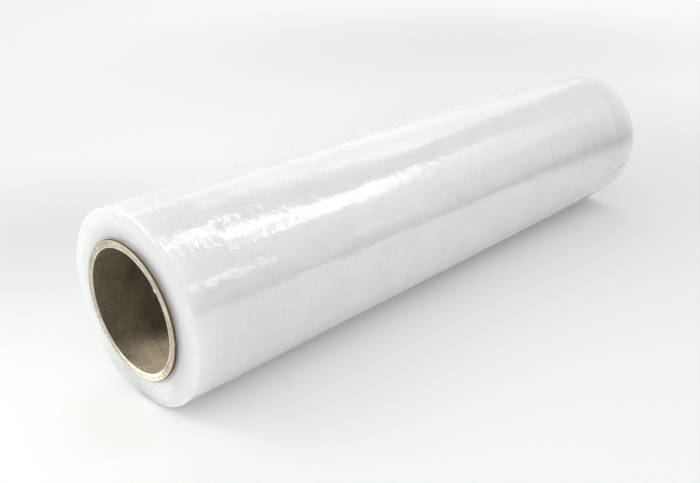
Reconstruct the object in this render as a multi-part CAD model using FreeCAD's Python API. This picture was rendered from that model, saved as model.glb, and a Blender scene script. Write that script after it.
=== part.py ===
import FreeCAD, Part
import math
import os

# Stretch wrap roll lying on its side. X runs along the roll from its near end (-X) to its
# far end (+X), Z is up, and the origin is under the middle of the roll on the surface that
# it lies on. All sizes are in millimetres.

# Paperboard core
CORE_BORE = 76.2            # three inch spindle bore
CORE_WALL = 4.6             # glued paperboard plies
CORE_PROUD = 2.0            # each core end past the film's end face
CORE_CHAMFER = 0.5          # worn outer and inner edges of the core's ends

# Wound film
FILM_WIDTH = 500.0          # between the two end faces of the film
FILM_BUILD = 18.5           # thickness of all the turns together
WINDING_GAP = 0.05          # between the core and the first turn
TAIL_STEP = 0.5             # height of the loose last turn's free edge
TAIL_ANGLE = 218.0          # degrees about the roll from +Y through +Z to the free edge
FLAT_WIDTH = 14.0           # flat spot that the roll's own weight presses underneath

# First turns, wound a little past the rest round the core
COLLAR_BUILD = 1.2
COLLAR_PROUD = 1.0
COLLAR_GAP = 0.6            # slack ring between the first turns and the rest
COLLAR_GAP_DEPTH = 0.8

# Outermost turns, drawn a little inward at both ends
RIM_BUILD = 2.0
RIM_SET_BACK = 0.8
RIM_ROUND = 1.2

# Ridges that the edges of the turns make on the end faces, in one spiral
TURN_PITCH = 1.7
TURN_GROOVE_WIDTH = 0.9
TURN_GROOVE_DEPTH = 0.35

# Gauge bands: a raised ring near each end, where the film winds up slightly thicker, with
# the roll a little thinner between the rings and thinner again towards the rims
NEAR_RING = 37.0            # from the near end face to the raised ring
FAR_RING = 33.0
RING_FOOT = 8.0             # how far the ring spreads along the roll to each side
MIDDLE_FALL = 0.15          # the radius is smaller by this between the rings
FOOT_FALL = 0.25            # and by this at the ring's foot towards the rim
END_BAND_FALL = 0.5         # and by this at the rim

core_radius = CORE_BORE / 2 + CORE_WALL
film_bore = core_radius + WINDING_GAP
roll_radius = film_bore + FILM_BUILD
half_width = FILM_WIDTH / 2
core_length = FILM_WIDTH + 2 * CORE_PROUD
axis_height = math.sqrt((roll_radius - MIDDLE_FALL) ** 2 - (FLAT_WIDTH / 2) ** 2)

STEP_ANGLE = 180.0          # where the wound body has its step before it is turned
AXIS = FreeCAD.Vector(1, 0, 0)
CENTRE = FreeCAD.Vector(0, 0, 0)


def point(x, radius, shift=0.0):
    """A point of a section in the XY plane, at a radius from an axis shifted along +Y."""
    return FreeCAD.Vector(x, shift + radius, 0)


def rod(radius, start, length):
    """A round bar about the roll's axis."""
    return Part.makeCylinder(radius, length, FreeCAD.Vector(start, 0, 0), AXIS)


def ring(inner, outer, start, length):
    """A flat-ended ring about the roll's axis."""
    return rod(outer, start, length).cut(rod(inner, start, length))


def spin(edges, shift, angle):
    """Turn a closed section about the axis that lies at the shift along +Y."""
    section = Part.Face(Part.Wire(edges))
    return section.revolve(FreeCAD.Vector(0, shift, 0), AXIS, angle)


def polyline(points):
    """Straight edges from each point to the next."""
    return [Part.makeLine(a, b) for a, b in zip(points, points[1:])]


def rim_corners(face_x, inward, radius, shift):
    """The rim's soft corner, from the end face to the roll's side."""
    leg = RIM_ROUND * (1 - math.sqrt(0.5))
    start = point(face_x, radius - RIM_ROUND, shift)
    middle = point(face_x + inward * leg, radius - leg, shift)
    end = point(face_x + inward * RIM_ROUND, radius, shift)
    return [start, middle, end]


def side_stations():
    """Places along the roll's side with the radius change at each, near end first."""
    bands = ((-RING_FOOT, -FOOT_FALL), (0.0, 0.0), (RING_FOOT, -MIDDLE_FALL))
    near = [(-half_width + NEAR_RING + step, change) for step, change in bands]
    far = [(half_width - FAR_RING - step, change) for step, change in bands]
    return near + far[::-1]


def half_turn_body(shift, growth, angle):
    """Half of the wound body: its section swept half a turn about a shifted axis."""
    rim = half_width - RIM_SET_BACK
    radius = roll_radius + growth
    rim_radius = radius - END_BAND_FALL
    near = rim_corners(-rim, 1, rim_radius, shift)
    far = rim_corners(rim, -1, rim_radius, shift)
    side = [point(x, radius + change, shift) for x, change in side_stations()]
    base = point(-rim, 0, shift)
    outline = [base] + near + side + far[::-1] + [point(rim, 0, shift), base]
    return spin(polyline(outline), shift, angle)


def wound_body():
    """The turns as one solid: two half turns about two centres, so the last turn ends in
    a step, the film's free edge, and runs smoothly into the turn under it elsewhere."""
    shift = TAIL_STEP / 2
    last_turn = half_turn_body(0.0, 0.0, -180)
    turn_under = half_turn_body(shift, -shift, 180)
    return last_turn.fuse(turn_under).removeSplitter()


def turn_edges(face_x, outward):
    """The spiral valley between the turns' edges on one end face, in half turns about two
    centres half a pitch apart. Each half turn runs on smoothly from the last."""
    first = film_bore + COLLAR_BUILD + COLLAR_GAP + TURN_PITCH / 2
    last = roll_radius - TAIL_STEP - END_BAND_FALL - RIM_BUILD - TURN_PITCH
    turns = max(1, int((last - first) / TURN_PITCH))
    lift = TURN_GROOVE_DEPTH / 4
    half_mouth = TURN_GROOVE_WIDTH / 2 * (1 + lift / TURN_GROOVE_DEPTH)
    mouth = face_x + outward * lift
    bottom = face_x - outward * TURN_GROOVE_DEPTH
    valleys = []
    for turn in range(turns):
        radius = first + turn * TURN_PITCH
        for shift, growth, angle in ((0.0, 0.0, 180), (TURN_PITCH / 2, TURN_PITCH / 2, -180)):
            middle = radius + growth
            corners = [
                point(mouth, middle - half_mouth, shift),
                point(mouth, middle + half_mouth, shift),
                point(bottom, middle, shift),
            ]
            valleys.append(spin(polyline(corners + corners[:1]), shift, angle))
    return valleys


def film_end(body, outward):
    """Shape one end: raised first turns, the slack ring round them and the turns' edges."""
    face_x = outward * half_width
    rim = roll_radius - TAIL_STEP - END_BAND_FALL - RIM_BUILD
    collar = film_bore + COLLAR_BUILD
    step = min(face_x, face_x - outward * RIM_SET_BACK)
    body = body.fuse(rod(rim, step, RIM_SET_BACK))
    body = body.fuse(rod(collar, min(face_x, face_x + outward * COLLAR_PROUD), COLLAR_PROUD))
    slack_start = min(face_x, face_x - outward * COLLAR_GAP_DEPTH)
    body = body.cut(ring(collar, collar + COLLAR_GAP, slack_start, COLLAR_GAP_DEPTH))
    for valley in turn_edges(face_x, outward):
        body = body.cut(valley)
    return body


def make_film_roll():
    """The wound film, with the core's place open through it and the flat spot underneath."""
    body = wound_body()
    body = film_end(body, -1)
    body = film_end(body, 1)
    through = half_width + COLLAR_PROUD
    body = body.cut(rod(film_bore, -through, 2 * through))
    body.rotate(CENTRE, AXIS, TAIL_ANGLE - STEP_ANGLE)
    below = roll_radius
    floor = Part.makeBox(2 * through, 2 * roll_radius, below)
    floor.translate(FreeCAD.Vector(-through, -roll_radius, -axis_height - below))
    return body.cut(floor)


def make_core():
    """The paperboard tube, with its bore open and its end edges worn back."""
    outer = core_radius
    inner = CORE_BORE / 2
    end = core_length / 2
    worn = CORE_CHAMFER
    section = [
        point(-end, inner + worn),
        point(-end, outer - worn),
        point(-end + worn, outer),
        point(end - worn, outer),
        point(end, outer - worn),
        point(end, inner + worn),
        point(end - worn, inner),
        point(-end + worn, inner),
    ]
    return spin(polyline(section + section[:1]), 0.0, 360)


def save(shape, name):
    """Stand a finished piece on the surface that the roll lies on and write it."""
    shape.translate(FreeCAD.Vector(0, 0, axis_height))
    solid = shape.Solids[0]
    print(name, len(shape.Solids), "solid", "valid" if solid.isValid() else "invalid",
          round(solid.Volume / 1000, 2), "cm3")
    solid.exportStep("parts/" + name + ".step")


os.makedirs("parts", exist_ok=True)
save(make_core(), "core")
save(make_film_roll(), "film_roll")
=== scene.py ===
# %% [markdown]
# A roll of stretch wrap
#
# The object is a hand roll of clear packing film, wound some 900 turns thick on a spiral
# paperboard core, lying on its side. Many turns of clear film look milky white, the outermost
# ones mirror the lights of the room, and the cut ends of the turns show as fine rings on the
# end faces. This lesson builds it in that order: camera, room, wound film, loose film, core.
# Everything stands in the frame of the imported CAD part, in metres.

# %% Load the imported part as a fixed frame
import math

import bmesh
import bpy
import numpy as np
from mathutils import Matrix, Vector


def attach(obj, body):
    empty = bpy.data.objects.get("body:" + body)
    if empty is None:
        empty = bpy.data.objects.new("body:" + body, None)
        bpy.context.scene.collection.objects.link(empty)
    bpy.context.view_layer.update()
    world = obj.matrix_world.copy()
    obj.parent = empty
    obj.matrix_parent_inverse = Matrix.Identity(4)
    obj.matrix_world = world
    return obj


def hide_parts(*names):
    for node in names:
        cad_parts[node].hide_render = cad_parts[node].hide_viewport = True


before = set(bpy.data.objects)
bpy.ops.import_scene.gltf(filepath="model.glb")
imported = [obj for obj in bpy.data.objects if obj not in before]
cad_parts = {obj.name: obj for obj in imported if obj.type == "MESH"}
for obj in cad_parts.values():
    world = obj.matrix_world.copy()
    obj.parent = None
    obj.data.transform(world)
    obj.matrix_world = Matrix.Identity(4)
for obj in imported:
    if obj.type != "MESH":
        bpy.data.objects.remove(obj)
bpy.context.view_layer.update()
scene = bpy.context.scene
scene.view_settings.view_transform = "Standard"

# %% [markdown]
# Most sizes are the ones that the CAD part was built from, so each piece here lands on its
# solid. The collar and the slack ring are flatter here than in the solid, 0.6 and 0.3 mm
# and not 1.0 and 0.8 mm, to look more like the photograph beside the core. Lengths are
# written in millimetres and turned into metres once.

# %% Sizes of the roll
MM = 0.001
BORE_RADIUS = 38.1
CORE_RADIUS = 42.7
CORE_HALF = 252.0
FILM_BORE = 42.75
FILM_RADIUS = 61.25
FILM_HALF = 250.0
COLLAR_RADIUS = 43.95
COLLAR_PROUD = 0.6
SLACK_RADIUS = 44.55
SLACK_DEPTH = 0.3
RIM_INNER = 58.25
RIM_SET_BACK = 0.8
RIM_ROUND = 1.2
RIM_FALL = 0.5
MIDDLE_FALL = 0.15
FLAT_WIDTH = 14.0
AXIS_HEIGHT = math.sqrt((FILM_RADIUS - MIDDLE_FALL) ** 2 - (FLAT_WIDTH / 2) ** 2)
print("axis height", round(AXIS_HEIGHT, 3), "mm above the floor")

# %% [markdown]
# The camera comes first, because every other choice is judged through it. Its place and
# direction were solved from the outlines of the core, the two rims and the two sides, and
# the lens from how fast the roll narrows with distance. The photograph is trimmed a little
# off its middle, which a small shift of the lens stands for.

# %% Camera
CAMERA_PLACE = Vector((-0.44940, -0.37282, 0.27145))
CAMERA_YAW = 0.7261
CAMERA_PITCH = -0.4512
SENSOR_WIDTH = 36.0
FOCAL_PIXELS = 789.89
PICTURE_WIDTH = 700
FRAMING_PIXELS = 40

eye = bpy.data.cameras.new("eye")
eye.sensor_width = SENSOR_WIDTH
eye.lens = FOCAL_PIXELS / PICTURE_WIDTH * SENSOR_WIDTH
eye.clip_start = 0.01
eye.shift_x = -FRAMING_PIXELS / PICTURE_WIDTH
eye.shift_y = FRAMING_PIXELS / PICTURE_WIDTH
camera = bpy.data.objects.new("eye", eye)
camera.location = CAMERA_PLACE
camera.rotation_euler = (math.pi / 2 + CAMERA_PITCH, 0.0, CAMERA_YAW - math.pi / 2)
scene.collection.objects.link(camera)
scene.camera = camera
print("lens", round(eye.lens, 2), "mm")

# %% [markdown]
# A few small helpers keep the node trees short. A node tree is a recipe: each node is one
# step, and its sockets take either a plain value or the result of another step.

# %% Helpers for node trees
def add(tree, kind, values=None, **settings):
    """Add a node, apply its settings, and fill each named socket with a value or a link."""
    made = tree.nodes.new(kind)
    for name, value in settings.items():
        setattr(made, name, value)
    for key, value in (values or {}).items():
        if isinstance(value, bpy.types.NodeSocket):
            tree.links.new(value, made.inputs[key])
        else:
            made.inputs[key].default_value = value
    return made


def maths(tree, operation, *values):
    """One Math node, with its result."""
    return add(tree, "ShaderNodeMath", dict(enumerate(values)), operation=operation).outputs[0]


def split(tree, vector):
    """The X, Y and Z of a vector."""
    return add(tree, "ShaderNodeSeparateXYZ", {0: vector}).outputs


def join(tree, x, y, z):
    """A vector from three numbers."""
    return add(tree, "ShaderNodeCombineXYZ", {0: x, 1: y, 2: z}).outputs[0]


def new_material(name):
    """A node material with nothing in it but its output."""
    material = bpy.data.materials.new(name)
    material.use_nodes = True
    tree = material.node_tree
    tree.nodes.clear()
    return material, tree, tree.nodes.new("ShaderNodeOutputMaterial")


def ramp(tree, fraction, stops, interpolation="LINEAR"):
    """A colour ramp over (place, colour) stops."""
    made = add(tree, "ShaderNodeValToRGB", {0: fraction})
    made.color_ramp.interpolation = interpolation
    elements = made.color_ramp.elements
    while len(elements) < len(stops):
        elements.new(0.5)
    for element, (place, colour) in zip(elements, stops):
        element.position = place
        element.color = (*colour, 1.0)
    return made.outputs["Color"]


print("helpers ready")

# %% [markdown]
# The room is plain: a wide pale floor under soft light from all round. The film is glossy,
# so what the room holds shows in it as bands along the roll. A bright sky of one even tone
# would leave the film flat, which is why the soft light is stronger from some sides and
# panels come on top of it. The floor has a few broad spots of painted light and painted
# shade, and a small glow that only the camera sees, both set to match the photograph's floor.

# %% Floor
FLOOR_HALF = 6.0
FLOOR_DROP = 0.0001
FLOOR_COLOUR = (0.915, 0.935, 0.905)
BEYOND_COLOUR = (0.16, 0.17, 0.16)
PALE_EDGE_PLACE = (0.52, -0.27)
PALE_EDGE_OUTWARD = (0.95, 0.31)
PALE_BACK = -0.08
PALE_SOFTNESS = 0.2
# Painted light and painted shade on the floor: each spot at x, y lightens or darkens the floor's
# colour by its amount, fading out over its reach.
FLOOR_PAINTED_LIGHT_SPOTS = ((0.35, -0.02, 0.55, -0.13), (0.95, 0.6, 0.9, -0.12), (-0.18, 0.27, 0.3, -0.15),
               (-0.3, 0.01, 0.14, 0.1))
SEEN_GLOW = 0.18


def make_floor():
    """A pale sheet. The floor past its edge, outside the picture, is a darker one that only
    the film's gloss and the bounced light see."""
    plane = bmesh.new()
    bmesh.ops.create_grid(plane, x_segments=4, y_segments=4, size=FLOOR_HALF)
    mesh = bpy.data.meshes.new("floor")
    plane.to_mesh(mesh)
    plane.free()
    for vertex in mesh.vertices:
        vertex.co.z = -FLOOR_DROP
    floor = bpy.data.objects.new("floor", mesh)
    scene.collection.objects.link(floor)
    material, tree, output = new_material("pale_floor")
    place = split(tree, add(tree, "ShaderNodeTexCoord").outputs["Object"])
    across = maths(tree, "MULTIPLY", maths(tree, "SUBTRACT", place[0], PALE_EDGE_PLACE[0]),
                   PALE_EDGE_OUTWARD[0])
    along = maths(tree, "MULTIPLY", maths(tree, "SUBTRACT", place[1], PALE_EDGE_PLACE[1]),
                  PALE_EDGE_OUTWARD[1])
    past = add(tree, "ShaderNodeMapRange", {
        "Value": maths(tree, "ADD", across, along), "From Min": -PALE_SOFTNESS,
        "From Max": PALE_SOFTNESS}, interpolation_type="SMOOTHSTEP").outputs[0]
    past = maths(tree, "MULTIPLY", past, maths(tree, "LESS_THAN", place[1], PALE_BACK))
    camera_ray = add(tree, "ShaderNodeLightPath").outputs["Is Camera Ray"]
    mask = maths(tree, "MULTIPLY", past, maths(tree, "SUBTRACT", 1.0, camera_ray))
    share = 1.0
    # Each spot adds painted light or painted shade to the floor's colour.
    for spot_x, spot_y, reach, change in FLOOR_PAINTED_LIGHT_SPOTS:
        away = add(tree, "ShaderNodeVectorMath", {
            0: join(tree, place[0], place[1], 0.0), 1: (spot_x, spot_y, 0.0)},
            operation="DISTANCE").outputs[1]
        spot = add(tree, "ShaderNodeMapRange", {
            "Value": away, "From Max": reach, "To Min": change, "To Max": 0.0,
        }, interpolation_type="SMOOTHSTEP").outputs[0]
        share = maths(tree, "ADD", share, spot)
    pale = add(tree, "ShaderNodeVectorMath", {0: FLOOR_COLOUR, "Scale": share},
               operation="SCALE").outputs[0]
    tone = add(tree, "ShaderNodeMix", {0: mask, 6: pale, 7: (*BEYOND_COLOUR, 1.0)},
               data_type="RGBA").outputs[2]
    surface = add(tree, "ShaderNodeBsdfDiffuse", {"Color": tone})
    glow = add(tree, "ShaderNodeEmission", {"Color": tone})
    mix = add(tree, "ShaderNodeMixShader", {
        0: maths(tree, "MULTIPLY", camera_ray, SEEN_GLOW), 1: surface.outputs[0],
        2: glow.outputs[0]})
    tree.links.new(mix.outputs[0], output.inputs["Surface"])
    mesh.materials.append(material)
    return floor


floor = make_floor()
print("floor", 2 * FLOOR_HALF, "m wide")

# %% World
BACKGROUND_COLOUR = (0.90, 0.92, 0.89)
LOBES = (
    ("all_round", (0.0, 0.0, 1.0), -2.0, -1.5, 0.38, (1.0, 1.0, 1.0)),
    ("but_one_corner", (-0.74, 0.67, -0.10), -0.96, -0.78, 0.38, (1.0, 1.0, 1.0)),
    ("back_low", (0.60, 0.79, 0.12), 0.84, 0.97, 0.2, (0.93, 1.0, 1.0)),
    ("camera_side", (0.635, -0.613, 0.469), 0.85, 0.98, 0.48, (1.0, 1.0, 1.0)),
    ("left", (-0.84, 0.54, 0.1), 0.4, 0.95, 0.05, (1.0, 1.0, 1.0)),
    ("top", (-0.3, 0.2, 0.93), 0.5, 0.95, 0.1, (1.0, 1.0, 1.0)),
)


def make_world():
    """Soft light from all round and more from some sides, on a pale background."""
    world = bpy.data.worlds.new("room")
    scene.world = world
    world.use_nodes = True
    tree = world.node_tree
    tree.nodes.clear()
    direction = add(tree, "ShaderNodeTexCoord").outputs["Generated"]
    total = None
    for name, aim, low, high, level, tint in LOBES:
        facing = add(tree, "ShaderNodeVectorMath", {
            0: direction, 1: tuple(Vector(aim).normalized())}, operation="DOT_PRODUCT").outputs[1]
        share = add(tree, "ShaderNodeMapRange", {
            "Value": facing, "From Min": low, "From Max": high, "To Max": level,
        }, interpolation_type="SMOOTHSTEP").outputs[0]
        light = add(tree, "ShaderNodeBackground", {"Color": (*tint, 1.0), "Strength": share})
        light.label = name
        result = light.outputs[0]
        if total is not None:
            result = add(tree, "ShaderNodeAddShader", {0: total, 1: result}).outputs[0]
        total = result
    seen = add(tree, "ShaderNodeBackground", {"Color": (*BACKGROUND_COLOUR, 1.0)})
    camera_ray = add(tree, "ShaderNodeLightPath").outputs["Is Camera Ray"]
    mix = add(tree, "ShaderNodeMixShader", {0: camera_ray, 1: total, 2: seen.outputs[0]})
    output = tree.nodes.new("ShaderNodeOutputWorld")
    tree.links.new(mix.outputs[0], output.inputs["Surface"])


make_world()
print(len(LOBES), "parts of the soft light")

# %% [markdown]
# Each panel is an area light that the camera can't see. Its level is how bright it looks,
# where 1 is white, so that the power follows from its size and a panel can grow without
# getting brighter. The ceiling panels were placed by mirroring the photograph's highlights
# in the roll. Their levels, and the other panels, were set to match the picture, so this is
# not the room that the photograph was taken in.

# %% Light panels
def panel(name, middle, aim, size, level, tint, along):
    """A flat rectangular light at a place, facing a point, its long side along a direction."""
    lamp = bpy.data.lights.new(name, "AREA")
    lamp.shape = "RECTANGLE"
    lamp.size, lamp.size_y = size
    lamp.energy = level * math.pi * size[0] * size[1]
    lamp.color = tint
    light = bpy.data.objects.new(name, lamp)
    toward = (Vector(aim) - Vector(middle)).normalized()
    side = Vector(along)
    side = (side - side.dot(toward) * toward).normalized()
    up = (-toward).cross(side)
    turn = np.array([side, up, -toward]).T
    light.rotation_euler = Matrix(turn.tolist()).to_euler()
    light.location = middle
    light.visible_camera = False
    scene.collection.objects.link(light)
    return light


PANELS = (
    ("back_panel", (3.025, 2.10, 2.0), (3.025, 2.10, 0.0), (3.66, 2.4), 0.45, (0.93, 1.0, 1.0),
     (0.893, 0.45, 0.0)),
    ("back_corner", (1.65, 0.725, 1.99), (1.65, 0.725, 0.0), (1.27, 0.6), 0.5, (0.93, 1.0, 1.0),
     (0.667, -0.745, 0.0)),
    ("strip_near", (1.207, -0.744, 2.0), (1.207, -0.744, 0.0), (0.58, 0.47), 1.9, (1.0, 1.0, 1.0),
     (0.669, -0.743, 0.0)),
    ("strip_main", (1.84, -1.10, 1.99), (1.84, -1.10, 0.0), (0.78, 0.82), 1.45,
     (1.0, 1.0, 1.0), (0.995, -0.1, 0.0)),
    ("ceiling_lamp", (0.885, -0.25, 2.0), (0.885, -0.25, 0.0), (0.22, 0.60), 2.2,
     (1.0, 1.0, 1.0), (0.978, -0.207, 0.0)),
    ("side_softbox", (0.242, -0.734, 0.447), (-0.174, -0.129, 0.13), (0.16, 0.09), 1.2,
     (1.0, 1.0, 1.0), (0.605, -0.001, -0.797)),
    ("side_window", (0.505, -0.686, 0.272), (-0.041, -0.126, 0.106), (0.14, 0.10), 0.4,
     (1.0, 1.0, 1.0), (0.344, 0.058, -0.937)),
    ("streak_panel", (1.23, -0.358, 0.958), (0.593, -0.189, 0.504), (0.16, 0.14), 0.4,
     (1.0, 1.0, 1.0), (0.598, 0.427, -0.679)),
    ("mid_panel", (1.31, -0.90, 0.99), (0.0, -0.05, 0.09), (1.0, 0.6), 0.2, (1.0, 1.0, 1.0),
     (0.545, 0.839, 0.0)),
    ("near_lamp", (-0.42, 0.16, 0.30), (-0.25, 0.02, 0.08), (0.15, 0.12), 3.8, (1.0, 1.0, 1.0),
     (0.6, 0.6, 0.0)),
    ("front_lamp", (-0.70, 0.18, 0.34), (-0.25, 0.02, 0.08), (0.30, 0.24), 0.85, (1.0, 1.0, 1.0),
     (0.6, 0.6, 0.0)),
    ("high_back", (-0.2, 1.3, 1.7), (0.0, 0.0, 0.0), (1.4, 1.0), 0.4, (1.0, 1.0, 1.0),
     (1.0, 0.0, 0.0)),
    ("floor_pool", (-0.62, -0.20, 1.1), (-0.62, -0.20, 0.0), (0.6, 0.6), 0.05, (1.0, 1.0, 1.0),
     (1.0, 0.0, 0.0)),
)
for row in PANELS:
    panel(*row)
print(len(PANELS), "light panels")

# %% [markdown]
# The bore would be dark nearly to its mouth under these lights alone. A narrow spot from
# above shines into it and lights its lower side near the mouth, as the photograph shows. It
# stands for no lamp that can be seen there. Its soft edge ends on the core's cut face, so
# that it adds little to the film round it.

# %% Lamp that shows the inside of the core
BORE_LAMP_PLACE = Vector((-0.47, 0.14, 0.29))
BORE_LAMP_AIM = Vector((-0.252, 0.003, 0.052))
BORE_LAMP_CONE = 9.0
BORE_LAMP_WATTS = 8.0
BORE_LAMP_BLEND = 0.45
BORE_LAMP_SIZE = 0.004

lamp = bpy.data.lights.new("bore_lamp", "SPOT")
lamp.energy = BORE_LAMP_WATTS
lamp.spot_size = math.radians(BORE_LAMP_CONE)
lamp.spot_blend = BORE_LAMP_BLEND
lamp.shadow_soft_size = BORE_LAMP_SIZE
bore_lamp = bpy.data.objects.new("bore_lamp", lamp)
bore_lamp.location = BORE_LAMP_PLACE
bore_lamp.rotation_euler = (BORE_LAMP_AIM - BORE_LAMP_PLACE).to_track_quat("-Z", "Y").to_euler()
scene.collection.objects.link(bore_lamp)
print("bore lamp", BORE_LAMP_WATTS, "W")

# %% [markdown]
# The wound film and the core are both a section swept round the axis. What makes them wound
# and not just turned is a spiral: the radius shrinks by one turn's thickness on the way
# round, so the last turn ends in a step, and the edges of the turns run as one spiral ridge
# on the end faces. A lathe tool such as Spin can't do that, so a Geometry Nodes tree takes
# a grid, reads the section's points by row and places every column at its own angle.

# %% Geometry Nodes tree for anything wound
def wound_tree():
    """Sweep a section, given as a row of points at (x, radius), round the roll's axis."""
    tree = bpy.data.node_groups.new("wound", "GeometryNodeTree")
    face = tree.interface
    face.new_socket(name="Geometry", in_out="OUTPUT", socket_type="NodeSocketGeometry")
    face.new_socket(name="Section", in_out="INPUT", socket_type="NodeSocketGeometry")
    names = ("Columns", "Axis height", "Turn pitch", "Ridge depth", "Floor", "Finish")
    kinds = ("Int", "Float", "Float", "Float", "Float", "Material")
    for name, kind in zip(names, kinds):
        face.new_socket(name=name, in_out="INPUT", socket_type="NodeSocket" + kind)
    given = tree.nodes.new("NodeGroupInput").outputs
    section = given["Section"]
    rows = add(tree, "GeometryNodeAttributeDomainSize", {0: section}).outputs["Point Count"]
    wide = maths(tree, "ADD", given["Columns"], 2)
    across = maths(tree, "SUBTRACT", wide, 1)
    down = maths(tree, "SUBTRACT", rows, 1)
    grid = add(tree, "GeometryNodeMeshGrid", {
        "Size X": across, "Size Y": down, "Vertices X": wide, "Vertices Y": rows,
    }).outputs["Mesh"]
    place = split(tree, tree.nodes.new("GeometryNodeInputPosition").outputs[0])
    column = maths(tree, "ROUND", maths(tree, "ADD", place[0], maths(tree, "DIVIDE", across, 2)))
    row = maths(tree, "ROUND", maths(tree, "ADD", place[1], maths(tree, "DIVIDE", down, 2)))

    def of_section(name):
        """A named number of the section at this row."""
        value = add(tree, "GeometryNodeInputNamedAttribute", {0: name}, data_type="FLOAT")
        return add(tree, "GeometryNodeSampleIndex", {0: section, 1: value.outputs[0], "Index": row},
                   data_type="FLOAT").outputs[0]

    x, radius, step = of_section("x"), of_section("radius"), of_section("step")
    ridge, start = of_section("ridge"), of_section("start")
    share = maths(tree, "DIVIDE", column, given["Columns"])
    last = maths(tree, "GREATER_THAN", share, 1.0)
    turned = maths(tree, "SUBTRACT", share, maths(tree, "MULTIPLY", last, share))
    angle = maths(tree, "MULTIPLY_ADD", turned, 2 * math.pi, start)
    reach = maths(tree, "SUBTRACT", radius, maths(tree, "MULTIPLY", step, turned))
    winding = maths(tree, "DIVIDE", radius, given["Turn pitch"])
    phase = maths(tree, "FRACT", maths(tree, "SUBTRACT", winding, turned))
    peak = maths(tree, "ABSOLUTE", maths(tree, "MULTIPLY_ADD", phase, 2.0, -1.0))
    height = maths(tree, "MULTIPLY", maths(tree, "MULTIPLY", peak, given["Ridge depth"]), ridge)
    new_x = maths(tree, "ADD", x, height)
    new_y = maths(tree, "MULTIPLY", reach, maths(tree, "COSINE", angle))
    rise = maths(tree, "MULTIPLY_ADD", reach, maths(tree, "SINE", angle), given["Axis height"])
    new_z = maths(tree, "MAXIMUM", rise, given["Floor"])
    shaped = add(tree, "GeometryNodeSetPosition", {
        "Geometry": grid, "Position": join(tree, new_x, new_y, new_z),
    }).outputs[0]
    closed = add(tree, "GeometryNodeMergeByDistance", {0: shaped, "Distance": 2e-6}).outputs[0]
    real = add(tree, "GeometryNodeRealizeInstances", {0: closed}).outputs[0]
    finished = add(tree, "GeometryNodeSetMaterial", {0: real, "Material": given["Finish"]})
    tree.links.new(finished.outputs[0], tree.nodes.new("NodeGroupOutput").inputs[0])
    return tree


WOUND = wound_tree()
print("wound tree has", len(WOUND.nodes), "nodes")

# %% [markdown]
# The tree is used through a small function. It makes the section a row of loose points
# that carry the named numbers, runs the tree on it, turns the result into a plain mesh and
# drops the modifier, so that nothing live is left on the piece.

# %% Run the tree on a section
SHARP_EDGE = math.radians(40)


def wind(name, section, columns, pitch, ridge, material, lowest):
    """A finished piece from section rows of (x, radius, step, ridge, start), in millimetres
    and degrees."""
    rows = np.array(section, float)
    mesh = bpy.data.meshes.new(name + "_section")
    mesh.from_pydata([(x * MM, r * MM, 0.0) for x, r in rows[:, :2]], [], [])
    scales = (("x", MM), ("radius", MM), ("step", MM), ("ridge", 1.0), ("start", math.pi / 180))
    for column, (label, scale) in enumerate(scales):
        layer = mesh.attributes.new(label, "FLOAT", "POINT")
        layer.data.foreach_set("value", (rows[:, column] * scale).astype(np.float32))
    piece = bpy.data.objects.new(name, mesh)
    scene.collection.objects.link(piece)
    modifier = piece.modifiers.new("wound", "NODES")
    modifier.node_group = WOUND
    values = {"Columns": columns, "Axis height": AXIS_HEIGHT * MM, "Turn pitch": pitch * MM,
              "Ridge depth": ridge * MM, "Floor": lowest * MM, "Finish": material}
    for socket in WOUND.interface.items_tree:
        if socket.name in values:
            modifier[socket.identifier] = values[socket.name]
    graph = bpy.context.evaluated_depsgraph_get()
    made = bpy.data.meshes.new_from_object(piece.evaluated_get(graph))
    piece.modifiers.clear()
    piece.data = made
    made.name = name
    return piece


def tidy_mesh(piece):
    """Merge doubles, point every face outwards and keep only real corners sharp."""
    mesh = piece.data
    shell = bmesh.new()
    shell.from_mesh(mesh)
    bmesh.ops.remove_doubles(shell, verts=shell.verts, dist=1e-6)
    bmesh.ops.dissolve_degenerate(shell, edges=shell.edges, dist=1e-7)
    bmesh.ops.recalc_face_normals(shell, faces=shell.faces)
    if shell.calc_volume(signed=True) < 0:
        bmesh.ops.reverse_faces(shell, faces=shell.faces)
    open_edges = sum(1 for edge in shell.edges if not edge.is_manifold)
    shell.to_mesh(mesh)
    volume = shell.calc_volume(signed=True)
    shell.free()
    mesh.shade_smooth()
    mesh.set_sharp_from_angle(angle=SHARP_EDGE)
    mesh.calc_loop_triangles()
    print(piece.name, len(mesh.loop_triangles), "triangles,", open_edges, "open edges,",
          round(volume * 1e6, 1), "cm3")


print("ready to wind")

# %% [markdown]
# Film material. One layer of film is clear, but hundreds of layers scatter light between
# them, so the roll is a milky white body under a smooth clear skin. A Principled surface
# with a pale base, a little light passing under the surface and a clear coat gives both.
# The coat has a high index because several separate film layers mirror more than one does.
# Fine lines run round the roll where the film is thicker or thinner, and short ripples lie
# where the outer turn is slack: noise stretched along one direction gives both.

# %% Film material
FILM_COLOUR = (0.83, 0.845, 0.845)
FILM_SHADE = (0.75, 0.77, 0.77)
FILM_ROUGHNESS = 0.38
COAT_ROUGHNESS = 0.09
COAT_INDEX = 2.3
PATCH_RELIEF = 0.0005
LONG_RELIEF = 0.00006
CRINKLE_RELIEF = 0.00017


def stretched(tree, place, along, round_about, detail, roughness=0.6):
    """Noise with its own count of features each metre along the roll and round it."""
    x, y, z = place
    return add(tree, "ShaderNodeTexNoise", {
        "Vector": join(tree, maths(tree, "MULTIPLY", x, along),
                       maths(tree, "MULTIPLY", y, round_about),
                       maths(tree, "MULTIPLY", z, round_about)),
        "Scale": 1.0, "Detail": detail, "Roughness": roughness}).outputs[0]


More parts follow.
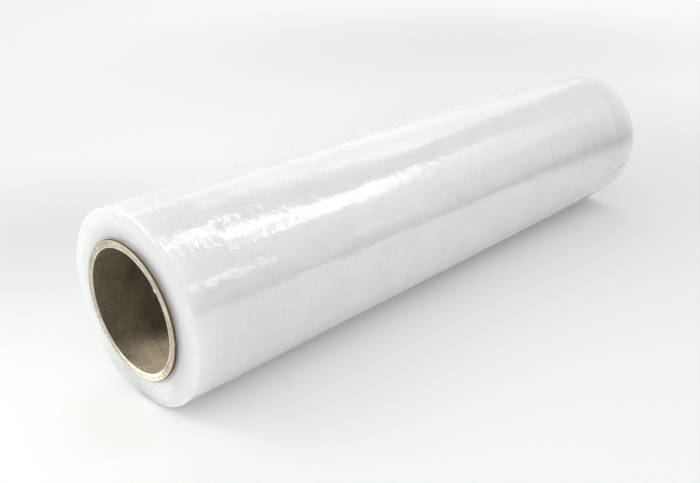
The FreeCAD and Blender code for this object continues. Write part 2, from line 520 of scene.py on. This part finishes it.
def make_film():
    """Milky wound film with a clear skin."""
    material, tree, output = new_material("stretch_film")
    place = split(tree, add(tree, "ShaderNodeTexCoord").outputs["Object"])
    round_lines = stretched(tree, place, 420.0, 14.0, 3.0)
    long_lines = stretched(tree, place, 9.0, 110.0, 2.0, 0.5)
    clouds = stretched(tree, place, 26.0, 34.0, 5.0, 0.65)
    patches = stretched(tree, place, 60.0, 75.0, 3.0)
    crinkles = stretched(tree, place, 330.0, 120.0, 3.0, 0.7)
    tone = maths(tree, "ADD", maths(tree, "MULTIPLY", round_lines, 0.22),
                 maths(tree, "MULTIPLY", clouds, 0.78))
    colour = ramp(tree, tone, ((0.34, FILM_SHADE), (0.62, FILM_COLOUR)))
    broad = add(tree, "ShaderNodeBump", {
        "Strength": 1.0, "Distance": PATCH_RELIEF, "Height": patches}).outputs[0]
    long_bump = add(tree, "ShaderNodeBump", {
        "Strength": 1.0, "Distance": LONG_RELIEF, "Height": long_lines,
        "Normal": broad}).outputs[0]
    fine = maths(tree, "ADD", maths(tree, "MULTIPLY", crinkles, clouds),
                 maths(tree, "MULTIPLY", round_lines, 0.35))
    bump = add(tree, "ShaderNodeBump", {
        "Strength": 1.0, "Distance": CRINKLE_RELIEF, "Height": fine,
        "Normal": long_bump}).outputs[0]
    surface = add(tree, "ShaderNodeBsdfPrincipled", {
        "Base Color": colour, "Roughness": FILM_ROUGHNESS, "IOR": 1.5,
        "Subsurface Weight": 0.9, "Subsurface Scale": 0.05,
        "Subsurface Radius": (1.0, 1.0, 1.0),
        "Coat Weight": 1.0, "Coat Roughness": COAT_ROUGHNESS, "Coat IOR": COAT_INDEX,
        "Normal": bump, "Coat Normal": bump,
    })
    tree.links.new(surface.outputs[0], output.inputs["Surface"])
    return material


film = make_film()
print("film material has", len(film.node_tree.nodes), "nodes")

# %% [markdown]
# The section of the wound film, walked once round: from the bore along the near end face
# to the rim, along the side and back over the far end face. Each row also says how much of
# the last turn's step it takes, how strongly the edges of the turns ridge it, and at which
# angle the film's free edge starts. Rows lie close together where the photograph shows
# detail and far apart where the side is plain. The bore has no rows between its two ends.
# They start at angles 28 degrees apart, so the long faces between them are twisted and the
# bore is waisted: in the middle it lies 1.3 mm inside the core's wall, where no view shows
# it. Some rows along the bore, each with the free edge's angle there, would mend it.

# %% Section of the wound film
TAIL_STEP = 0.3
NEAR_TAIL_STEP = 0.1
FACE_ROW = 0.3
NEAR_RING = 37.0
FAR_RING = 33.0
RING_FOOT = 8.0
FOOT_FALL = 0.25
FREE_EDGE = ((-252, 218), (99, 218), (157, 217), (184, 210.5), (204, 205), (219, 198), (252, 190))
SIDE_FALLS = ((0.0, RIM_FALL), (NEAR_RING - RING_FOOT, FOOT_FALL), (NEAR_RING, 0.0),
              (NEAR_RING + RING_FOOT, MIDDLE_FALL), (500.0 - FAR_RING - RING_FOOT, MIDDLE_FALL),
              (500.0 - FAR_RING, 0.0), (500.0 - FAR_RING + RING_FOOT, FOOT_FALL),
              (500.0, RIM_FALL))


def smooth(low, high, value):
    """0 below low, 1 above high and an even slope between."""
    share = np.clip((np.asarray(value, float) - low) / (high - low), 0.0, 1.0)
    return share * share * (3 - 2 * share)


def free_edge(x):
    """Angle of the film's free edge, in degrees, at a place along the roll."""
    places, angles = zip(*FREE_EDGE)
    return float(np.interp(x, places, angles))


def tail_step(x):
    """Height of the free edge, which lies tight at the near end and stands off at the far."""
    return NEAR_TAIL_STEP + (TAIL_STEP - NEAR_TAIL_STEP) * float(smooth(-60, 100, x))


def side_radius(x):
    """The side's radius with its gauge bands."""
    places, falls = zip(*SIDE_FALLS)
    return FILM_RADIUS - float(np.interp(x + FILM_HALF, places, falls))


def film_rows():
    """Section rows from the near bore edge, out, along the side and in again."""
    rows = []
    face = -FILM_HALF

    def row(x, radius, ridge=0.0):
        loose = float(smooth(RIM_INNER - 2.0, RIM_INNER + 1.0, radius))
        rows.append((x, radius, tail_step(x) * loose, ridge, free_edge(x)))

    def end_face(outward):
        """One end face from the bore to the rim, as (x, radius, ridge)."""
        flat = outward * FILM_HALF
        proud = flat + outward * COLLAR_PROUD
        valley = flat - outward * SLACK_DEPTH
        found = [(flat, FILM_BORE, 0.0), (proud - outward * 0.3, FILM_BORE, 0.0),
                 (proud, FILM_BORE + 0.3, 0.0)]
        for radius in np.arange(FILM_BORE + 0.7, COLLAR_RADIUS - 0.3, 0.4):
            found.append((proud, float(radius), 0.6))
        found += [(proud, COLLAR_RADIUS - 0.3, 0.0), (proud - outward * 0.3, COLLAR_RADIUS, 0.0),
                  (valley + outward * 0.2, COLLAR_RADIUS, 0.0), (valley, COLLAR_RADIUS + 0.2, 0.0),
                  (valley, SLACK_RADIUS - 0.2, 0.0), (valley + outward * 0.2, SLACK_RADIUS, 0.0),
                  (flat - outward * 0.25, SLACK_RADIUS + 0.02, 0.0),
                  (flat, SLACK_RADIUS + 0.25, 0.0)]
        rim = FILM_RADIUS - RIM_FALL
        for radius in np.arange(SLACK_RADIUS + 0.5, rim - RIM_ROUND, FACE_ROW):
            back = RIM_SET_BACK * float(smooth(RIM_INNER - 3.0, rim - RIM_ROUND, radius))
            found.append((flat - outward * back, float(radius), 1.0))
        back = flat - outward * RIM_SET_BACK
        for angle in np.linspace(0.0, 90.0, 7):
            turn = math.radians(angle)
            found.append((back - outward * RIM_ROUND * (1 - math.cos(turn)),
                          rim - RIM_ROUND * (1 - math.sin(turn)), 0.0))
        return [(x, radius, -outward * ridge) for x, radius, ridge in found]

    for x, radius, ridge in end_face(-1):
        row(x, radius, ridge)
    start = face + RIM_SET_BACK + RIM_ROUND
    near = list(np.arange(start + 1.2, face + 60, 1.3))
    middle = list(np.arange(face + 60, FILM_HALF - 120, 6.0))
    far = list(np.arange(FILM_HALF - 120, FILM_HALF - 5.0, 3.0))
    last = [FILM_HALF - 5.0, FILM_HALF - 4.0, FILM_HALF - 3.0]
    for x in near + middle + far + last:
        row(float(x), side_radius(x))
    for x, radius, ridge in end_face(1)[::-1]:
        row(x, radius, ridge)
    rows.append(rows[0])
    return rows


section = film_rows()
print("film section has", len(section), "rows")

# %% Wind the film
FILM_COLUMNS = 340
TURN_PITCH = 1.7
RIDGE_DEPTH = 0.10
film_roll = wind("wound_film", section, FILM_COLUMNS, TURN_PITCH, RIDGE_DEPTH, film, 0.0)
tidy_mesh(film_roll)

# %% [markdown]
# Real film never lies quite round. Slack makes ripples beside the raised ring, faint waves
# run along the roll, and the free edge lifts off near the far end. At the near end the rim
# is wavy at the lower left, folds of loose layers lie on the face there, and the slack ring
# round the core closes on the left. These follow no single rule, so they are moves of the
# mesh's points in plain code: each one is a smooth hill or a wave that fades out.

# %% Unevenness of the wound film
SEED = 7
TAIL_LIFT = 0.7
TAIL_REACH = 26.0
LOOSE_RIM = 0.5
CREVICE = 0.15
COLLAR_RISE = 0.6
SLACK_MIDDLE = 190.0
SLACK_REACH = 105.0
FOLDS = ((302, 26, 58.6, 0.012, 1.4), (296, 20, 56.6, -0.03, 1.3), (288, 16, 54.4, -0.05, 1.2),
         (306, 18, 55.0, 0.05, 1.2), (280, 14, 57.4, 0.03, 1.1), (292, 12, 52.6, -0.04, 1.1),
         (314, 16, 57.2, -0.02, 1.2))
FOLD_HALF_WIDTH = 0.45


def hill(value, middle, half_width):
    """1 at the middle, 0 beyond the half width, smooth between."""
    return 0.5 + 0.5 * np.cos(np.pi * np.clip((value - middle) / half_width, -1.0, 1.0))


def waves(x, angle, counts, lengths, amount, seed):
    """A sum of waves: each runs a whole number of times round the roll and has its own
    length along it."""
    chance = np.random.default_rng(seed)
    total = np.zeros_like(x)
    for _ in range(14):
        count = int(chance.integers(counts[0], counts[1] + 1))
        length = chance.uniform(*lengths) * chance.choice((-1.0, 1.0))
        shift = chance.uniform(0, 2 * np.pi)
        total += np.cos(count * angle + 2 * np.pi * x / length + shift)
    return amount * total / math.sqrt(14)


def uneven_film(piece):
    """Move the outer turns' points in and out by the film's own unevenness."""
    mesh = piece.data
    points = np.zeros(len(mesh.vertices) * 3)
    mesh.vertices.foreach_get("co", points)
    points = points.reshape(-1, 3) / MM
    x = points[:, 0] + FILM_HALF
    y = points[:, 1]
    z = points[:, 2] - AXIS_HEIGHT
    radius = np.hypot(y, z)
    angle = np.arctan2(z, y)
    degrees = np.degrees(angle) % 360
    outer = smooth(RIM_INNER - 1.0, RIM_INNER + 1.5, radius)
    off_floor = 1.0 - hill(degrees, 270, 30)
    out = waves(x, angle, (2, 6), (180, 500), 0.035, SEED)
    out += waves(x, angle, (18, 46), (120, 420), 0.010, SEED + 1)
    out += waves(x, angle * 0, (0, 0), (9, 34), 0.010, SEED + 2)
    near_ring = hill(x, NEAR_RING, 16)
    out += near_ring * hill(degrees, 120, 40) * waves(x, angle, (40, 75), (14, 40), 0.035, SEED + 3)
    lift = smooth(395, 500, x) * TAIL_LIFT
    from_edge = (degrees - np.array([free_edge(v) for v in points[:, 0]])) % 360
    lip = np.where(from_edge < TAIL_REACH, 0.5 + 0.5 * np.cos(np.pi * from_edge / TAIL_REACH), 0.0)
    side = smooth(RIM_INNER + 1.2, RIM_INNER + 2.2, radius)
    out = out * outer * off_floor + lift * lip * side
    near_face = smooth(4.0, 1.5, x) * smooth(RIM_INNER - 8.0, RIM_INNER - 6.0, radius)
    for middle, reach, start, slope, height in FOLDS:
        away = (degrees - middle) / reach
        line = start + slope * (degrees - middle)
        ridge = hill(radius, line, FOLD_HALF_WIDTH) * hill(away, 0.0, 1.0)
        points[:, 0] -= near_face * ridge * height * smooth(0.0, 0.5, FILM_RADIUS - radius)
    crevice = smooth(40.0, 0.0, x) * smooth(SLACK_RADIUS, FILM_BORE, radius)
    out += CREVICE * crevice * hill(degrees, 195, 80)
    in_slack = (radius > COLLAR_RADIUS - 0.1) & (radius < SLACK_RADIUS + 0.3) & (x > 0) & (x < 2)
    tight = 1.0 - hill(degrees, SLACK_MIDDLE, SLACK_REACH)
    points[:, 0] -= np.where(in_slack, x * tight, 0.0)
    on_collar = (radius < COLLAR_RADIUS + 0.1) & (x < 0)
    points[:, 0] += np.where(on_collar, x * COLLAR_RISE * tight, 0.0)
    loose = hill(degrees, 300, 22) * smooth(6.0, 0.0, x) * outer
    out += loose * LOOSE_RIM * (0.5 + 0.5 * np.cos(angle * 31.0 + radius))
    scale = (radius + out) / radius
    y *= scale
    z *= scale
    z = np.maximum(z, -AXIS_HEIGHT)
    moved = np.stack([points[:, 0], y, z + AXIS_HEIGHT], 1) * MM
    mesh.vertices.foreach_set("co", moved.ravel())
    mesh.update()
    print("film moved by", round(float(out.min()), 2), "to", round(float(out.max()), 2), "mm")


uneven_film(film_roll)

# %% [markdown]
# The paperboard core is wound too: strips of kraft board, glued in a spiral, cut square at
# the ends. The cut end shows the plies as fine rings, its edges are a little frayed, and the
# innermost strip's joint runs as a thin spiral line down the bore. The same tree winds it,
# with a finer pitch for the plies.

# %% Core material
BOARD_COLOUR = (0.27, 0.22, 0.145)
BOARD_DARK = (0.095, 0.08, 0.056)
OUTER_PLY = (0.70, 0.57, 0.38)
OUTER_PLY_INSIDE = 41.7
# Painted shade: the core's outside, seen only where it stands past the film, is a darker brown for
# the shade of the crevice between core and film.
CREVICE_SHADE_COLOUR = (0.17, 0.12, 0.075)
LIP_COLOUR = (0.86, 0.80, 0.66)
LIP_OUTSIDE = 38.75
CUT_COLOUR = (0.80, 0.76, 0.63)
CUT_DARK = (0.28, 0.25, 0.195)
SEAM_PITCH = 82.0
SEAM_PLACE = (21.0, 290.0)
PLY = 0.78


def make_board():
    """Kraft board: warm brown faces, paler speckled cut ends, a joint down the bore and a
    painted-shade outside.
    """
    material, tree, output = new_material("kraft_board")
    place = add(tree, "ShaderNodeTexCoord").outputs["Object"]
    x, y, z = split(tree, place)
    up = maths(tree, "SUBTRACT", z, AXIS_HEIGHT * MM)
    radius = maths(tree, "SQRT", maths(tree, "ADD", maths(tree, "MULTIPLY", y, y),
                                       maths(tree, "MULTIPLY", up, up)))
    fibres = add(tree, "ShaderNodeTexNoise", {
        "Vector": place, "Scale": 900.0, "Detail": 4.0, "Roughness": 0.7}).outputs[0]
    blotches = add(tree, "ShaderNodeTexNoise", {
        "Vector": place, "Scale": 70.0, "Detail": 3.0, "Roughness": 0.6}).outputs[0]
    face = ramp(tree, maths(tree, "ADD", maths(tree, "MULTIPLY", fibres, 0.6),
                            maths(tree, "MULTIPLY", blotches, 0.4)),
                ((0.34, BOARD_DARK), (0.6, BOARD_COLOUR)))
    turn = maths(tree, "DIVIDE", maths(tree, "ARCTAN2", up, y), 2 * math.pi)
    along = maths(tree, "DIVIDE", x, SEAM_PITCH * MM)
    offset = (SEAM_PLACE[0] - FILM_HALF) / SEAM_PITCH - SEAM_PLACE[1] / 360
    wound = maths(tree, "SUBTRACT", along, turn)
    phase = maths(tree, "FRACT", maths(tree, "SUBTRACT", wound, offset))
    near_line = maths(tree, "MINIMUM", phase, maths(tree, "SUBTRACT", 1.0, phase))
    seam = add(tree, "ShaderNodeMapRange", {
        "Value": near_line, "From Min": 0.002, "From Max": 0.008, "To Min": 1.0, "To Max": 0.0,
    }, interpolation_type="SMOOTHSTEP").outputs[0]
    face = add(tree, "ShaderNodeMix", {0: maths(tree, "MULTIPLY", seam, 0.55), 6: face,
                                       7: (*BOARD_DARK, 1.0)}, data_type="RGBA").outputs[2]
    rings = add(tree, "ShaderNodeTexNoise", {
        "Vector": join(tree, maths(tree, "MULTIPLY", radius, 1700.0),
                       maths(tree, "MULTIPLY", turn, 14.0), 0.0),
        "Scale": 1.0, "Detail": 3.0, "Roughness": 0.6}).outputs[0]
    speckle = maths(tree, "ADD", maths(tree, "MULTIPLY", rings, 0.55),
                    maths(tree, "MULTIPLY", fibres, 0.45))
    cut = ramp(tree, speckle, ((0.41, CUT_DARK), (0.58, CUT_COLOUR)))
    in_lip = maths(tree, "LESS_THAN", radius, LIP_OUTSIDE * MM)
    cut = add(tree, "ShaderNodeMix", {0: in_lip, 6: cut, 7: (*LIP_COLOUR, 1.0)},
              data_type="RGBA").outputs[2]
    in_outer = maths(tree, "GREATER_THAN", radius, OUTER_PLY_INSIDE * MM)
    cut = add(tree, "ShaderNodeMix", {0: in_outer, 6: cut, 7: (*OUTER_PLY, 1.0)},
              data_type="RGBA").outputs[2]
    # Painted shade on the core's outside, in the crevice beside the film.
    face = add(tree, "ShaderNodeMix", {0: in_outer, 6: face, 7: (*CREVICE_SHADE_COLOUR, 1.0)},
               data_type="RGBA").outputs[2]
    normal = split(tree, add(tree, "ShaderNodeTexCoord").outputs["Normal"])[0]
    is_end = add(tree, "ShaderNodeMapRange", {
        "Value": maths(tree, "ABSOLUTE", normal), "From Min": 0.55, "From Max": 0.8,
    }, interpolation_type="SMOOTHSTEP").outputs[0]
    colour = add(tree, "ShaderNodeMix", {0: is_end, 6: face, 7: cut}, data_type="RGBA").outputs[2]
    relief = maths(tree, "ADD", fibres, maths(tree, "MULTIPLY", rings, is_end))
    relief = maths(tree, "SUBTRACT", relief, seam)
    bump = add(tree, "ShaderNodeBump", {
        "Strength": 0.6, "Distance": 0.00015, "Height": relief}).outputs[0]
    surface = add(tree, "ShaderNodeBsdfPrincipled", {
        "Base Color": colour, "Roughness": 0.85, "IOR": 1.45, "Specular IOR Level": 0.35,
        "Normal": bump,
    })
    tree.links.new(surface.outputs[0], output.inputs["Surface"])
    return material


board = make_board()
print("board material has", len(board.node_tree.nodes), "nodes")

# %% Section of the core
CORE_WORN = 0.45


def core_rows():
    """Section rows from the near bore lip, out over the cut end, along the outside and back
    through the bore."""
    def end(outward):
        tip = outward * CORE_HALF
        found = []
        for angle in np.linspace(0, 90, 4):
            turn = math.radians(angle)
            found.append((tip - outward * CORE_WORN * (1 - math.sin(turn)),
                          BORE_RADIUS + CORE_WORN * (1 - math.cos(turn)), 0.0))
        for radius in np.arange(BORE_RADIUS + CORE_WORN + 0.16, CORE_RADIUS - CORE_WORN, 0.16):
            found.append((tip, float(radius), 1.0))
        for angle in np.linspace(0, 90, 4):
            turn = math.radians(angle)
            found.append((tip - outward * CORE_WORN * (1 - math.cos(turn)),
                          CORE_RADIUS - CORE_WORN * (1 - math.sin(turn)), 0.0))
        return [(x, radius, 0.0, -outward * ridge, 0.0) for x, radius, ridge in found]

    rows = end(-1)
    for x in np.linspace(-CORE_HALF + 1.0, CORE_HALF - 1.0, 12):
        rows.append((float(x), CORE_RADIUS, 0.0, 0.0, 0.0))
    rows += end(1)[::-1]
    stations = np.concatenate([np.arange(1.0, 62.0, 1.2), np.arange(64.0, 442.0, 9.0),
                               np.arange(442.0, 503.5, 4.0)])
    for x in stations[::-1] - CORE_HALF:
        rows.append((float(x), BORE_RADIUS, 0.0, 0.0, 0.0))
    rows.append(rows[0])
    return rows


core = wind("board_core", core_rows(), 240, PLY, 0.16, board, 0.0)
tidy_mesh(core)

# %% Fray the core's ends and step its joint
SEAM_STEP = 0.16
BURR = (142.0, 3.0, 0.7)
NICK = (186.0, 4.0, 0.5)


def fray_core(piece):
    """Roughen the cut ends, raise one burr, dent one nick and step the bore at its joint."""
    mesh = piece.data
    points = np.zeros(len(mesh.vertices) * 3)
    mesh.vertices.foreach_get("co", points)
    points = points.reshape(-1, 3) / MM
    x = points[:, 0]
    y = points[:, 1]
    z = points[:, 2] - AXIS_HEIGHT
    radius = np.hypot(y, z)
    angle = np.arctan2(z, y)
    degrees = np.degrees(angle) % 360
    chance = np.random.default_rng(SEED + 9)
    at_end = smooth(CORE_HALF - 1.2, CORE_HALF - 0.1, np.abs(x))
    grain = chance.normal(0.0, 1.0, len(x))
    in_face = at_end * smooth(0, 0.5, radius - BORE_RADIUS) * smooth(0, 0.5, CORE_RADIUS - radius)
    x -= np.sign(x) * in_face * np.abs(grain) * 0.05
    lip = at_end * hill(radius, BORE_RADIUS, 0.6)
    rough = waves(x * 0, angle, (9, 70), (50, 90), 0.07, SEED + 10)
    out = lip * rough
    burr = hill(degrees, BURR[0], BURR[1]) * lip * (x < 0)
    out -= burr * BURR[2]
    x -= burr * 0.35
    nick = hill(degrees, NICK[0], NICK[1]) * hill(radius, CORE_RADIUS, 0.9) * at_end * (x < 0)
    x += nick * NICK[2]
    inside = smooth(0.3, 0.1, radius - BORE_RADIUS)
    offset = (SEAM_PLACE[0] - FILM_HALF) / SEAM_PITCH - SEAM_PLACE[1] / 360
    phase = (x / SEAM_PITCH - angle / (2 * np.pi) - offset) % 1.0
    out += inside * (1 - at_end) * SEAM_STEP * (phase - 1.0)
    scale = (radius + out) / radius
    moved = np.stack([x, y * scale, z * scale + AXIS_HEIGHT], 1) * MM
    mesh.vertices.foreach_set("co", moved.ravel())
    mesh.update()
    print("core frayed, bore step", SEAM_STEP, "mm")


fray_core(core)

# %% [markdown]
# Each piece now rides on the roll's one body and stands in for its CAD node, which is
# hidden.

# %% Tie the pieces to the part
for piece, node, finish in ((film_roll, "film_roll", "film"), (core, "core", "paperboard")):
    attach(piece, "root")
    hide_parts(node)
    print(piece.name, "stands for", node)
